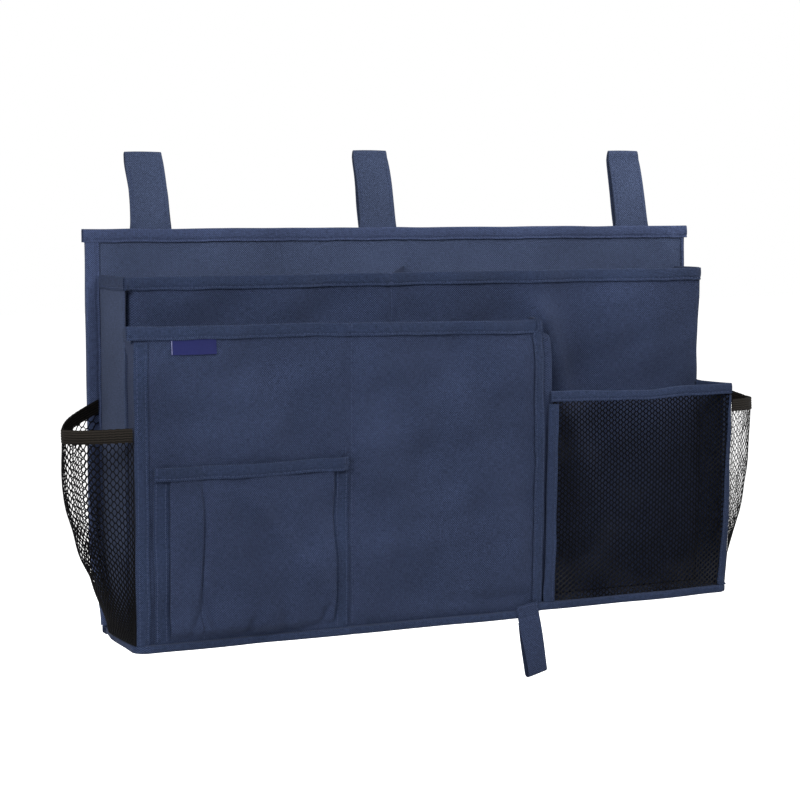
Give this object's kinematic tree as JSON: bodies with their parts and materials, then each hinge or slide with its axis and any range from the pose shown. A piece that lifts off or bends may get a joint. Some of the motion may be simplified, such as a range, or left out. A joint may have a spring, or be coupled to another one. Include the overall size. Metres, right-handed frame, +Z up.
{
  "type": "bedside caddy",
  "caption": "Hanging cloth organiser with pockets, net side pouches and rail straps, for the side of a bed.",
  "frame": {"origin": "middle of the back panel's top edge, on the rear face of the back panel, where the rail straps carry it", "axes": "+X to the right seen from the front, +Y towards the bed, +Z up"},
  "size_m": [0.731, 0.1346, 0.5024],
  "materials": {
    "navy_cloth": "woven polyester oxford cloth, matt",
    "navy_tape": "woven polyester edge tape, slight sheen",
    "black_net": "knitted polyester net",
    "elastic": "ribbed woven elastic",
    "hook_and_loop": "hook-and-loop pile, matt",
    "label_cloth": "bare woven satin label",
    "board": "moulded polyethylene board"
  },
  "bodies": {
    "caddy_body": {"back_panel_front_cloth": "navy_cloth", "back_panel_rear_cloth": "navy_cloth", "back_panel_board_left": "board", "back_panel_board_right": "board", "back_panel_top_binding": "navy_tape", "back_panel_left_binding": "navy_tape", "back_panel_right_binding": "navy_tape", "base_under_cloth": "navy_cloth", "base_board": "board", "base_top_cloth": "navy_cloth", "base_front_binding": "navy_tape", "base_rear_binding": "navy_tape", "middle_pocket_panel": "navy_cloth", "middle_pocket_top_binding": "navy_tape", "middle_pocket_left_gusset": "navy_cloth", "middle_pocket_left_gusset_binding": "navy_tape", "middle_pocket_right_gusset": "navy_cloth", "middle_pocket_right_gusset_binding": "navy_tape", "middle_pocket_divider": "navy_cloth", "front_pocket_panel": "navy_cloth", "front_pocket_top_binding": "navy_tape", "front_pocket_left_binding": "navy_tape", "front_pocket_right_binding": "navy_tape", "front_pocket_left_gusset": "navy_cloth", "front_pocket_left_gusset_binding": "navy_tape", "front_pocket_right_gusset": "navy_cloth", "front_pocket_right_gusset_binding": "navy_tape", "front_pocket_divider": "navy_cloth", "label": "label_cloth", "patch_pocket_panel": "navy_cloth", "patch_pocket_top_binding": "navy_tape", "patch_pocket_left_pleat": "navy_cloth", "patch_pocket_right_pleat": "navy_cloth", "patch_pocket_pen_divider": "navy_cloth", "box_pocket_net": "black_net", "box_pocket_top_binding": "navy_tape", "box_pocket_left_binding": "navy_tape", "box_pocket_right_binding": "navy_tape", "box_pocket_right_wall": "navy_cloth", "box_pocket_wall_binding": "navy_tape", "left_bottle_pocket_band": "elastic", "left_bottle_pocket_net": "black_net", "right_bottle_pocket_band": "elastic", "right_bottle_pocket_net": "black_net", "left_rear_loop_patch": "hook_and_loop", "middle_rear_loop_patch": "hook_and_loop", "right_rear_loop_patch": "hook_and_loop", "pull_loop_sewn_end": "navy_tape"},
    "left_strap": {"left_strap_riser": "navy_cloth"},
    "left_strap_end": {"left_strap_tail": "navy_cloth", "left_strap_hook_patch": "hook_and_loop"},
    "middle_strap": {"middle_strap_riser": "navy_cloth"},
    "middle_strap_end": {"middle_strap_tail": "navy_cloth", "middle_strap_hook_patch": "hook_and_loop"},
    "right_strap": {"right_strap_riser": "navy_cloth"},
    "right_strap_end": {"right_strap_tail": "navy_cloth", "right_strap_hook_patch": "hook_and_loop"},
    "pull_loop": {"pull_loop": "navy_tape"}
  },
  "joints": [
    {"name": "left_strap_seam", "type": "hinge", "parent": "caddy_body", "child": "left_strap", "pos_m": [-0.259, -0.00305, 0.0003], "axis": [1, 0, 0], "range_deg": [0, 95]},
    {"name": "left_strap_fold", "type": "hinge", "parent": "left_strap", "child": "left_strap_end", "pos_m": [-0.259, 0.02475, 0.0672], "axis": [1, 0, 0], "range_deg": [0, 175]},
    {"name": "middle_strap_seam", "type": "hinge", "parent": "caddy_body", "child": "middle_strap", "pos_m": [-0.03, -0.00305, 0.0003], "axis": [1, 0, 0], "range_deg": [0, 95]},
    {"name": "middle_strap_fold", "type": "hinge", "parent": "middle_strap", "child": "middle_strap_end", "pos_m": [-0.03, 0.02475, 0.0672], "axis": [1, 0, 0], "range_deg": [0, 175]},
    {"name": "right_strap_seam", "type": "hinge", "parent": "caddy_body", "child": "right_strap", "pos_m": [0.255, -0.00305, 0.0003], "axis": [1, 0, 0], "range_deg": [0, 95]},
    {"name": "right_strap_fold", "type": "hinge", "parent": "right_strap", "child": "right_strap_end", "pos_m": [0.255, 0.02475, 0.0672], "axis": [1, 0, 0], "range_deg": [0, 175]},
    {"name": "pull_loop_swing", "type": "hinge", "parent": "caddy_body", "child": "pull_loop", "pos_m": [0.08009, -0.1064, -0.37186], "axis": [0.9877, 0, 0.1564], "range_deg": [-90, 85]}
  ]
}
